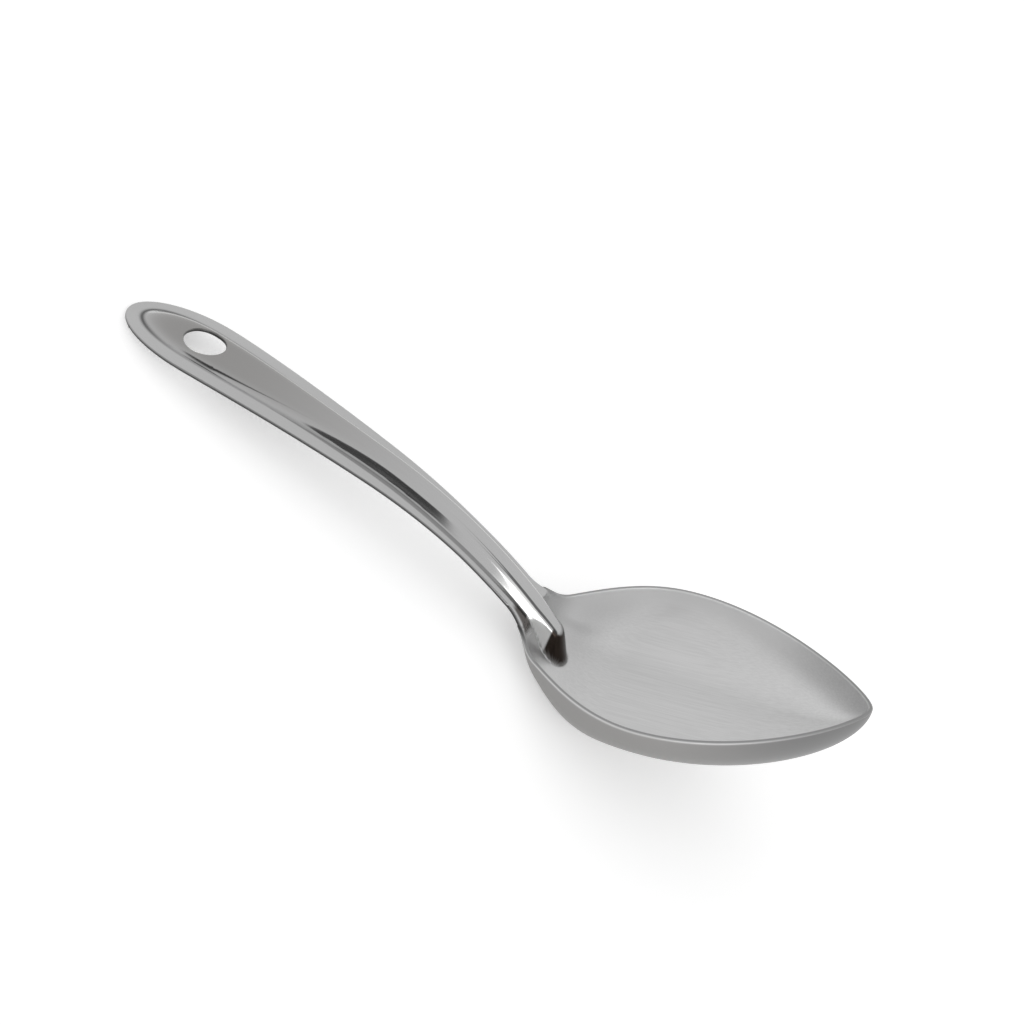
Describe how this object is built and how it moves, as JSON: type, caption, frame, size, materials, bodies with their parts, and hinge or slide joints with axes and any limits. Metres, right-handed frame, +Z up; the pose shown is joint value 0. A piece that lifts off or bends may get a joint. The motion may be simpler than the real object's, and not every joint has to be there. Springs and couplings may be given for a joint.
{
  "type": "serving spoon",
  "caption": "Pressed steel serving spoon with a pointed shallow bowl, a steep neck and a ribbed handle that ends in a broad raised tongue with a hanging hole.",
  "frame": {"origin": "on the table under the middle of the spoon's length, where it lies on the heel of the bowl and the end of the handle", "axes": "+X along the spoon towards the tip of the bowl, +Y across it, +Z up from the table"},
  "size_m": [0.2206, 0.062, 0.0565],
  "materials": {
    "satin_steel": "satin, with fine lines",
    "polished_steel": "polished"
  },
  "bodies": {
    "root": {"bowl": "satin_steel", "handle": "polished_steel"}
  },
  "joints": []
}
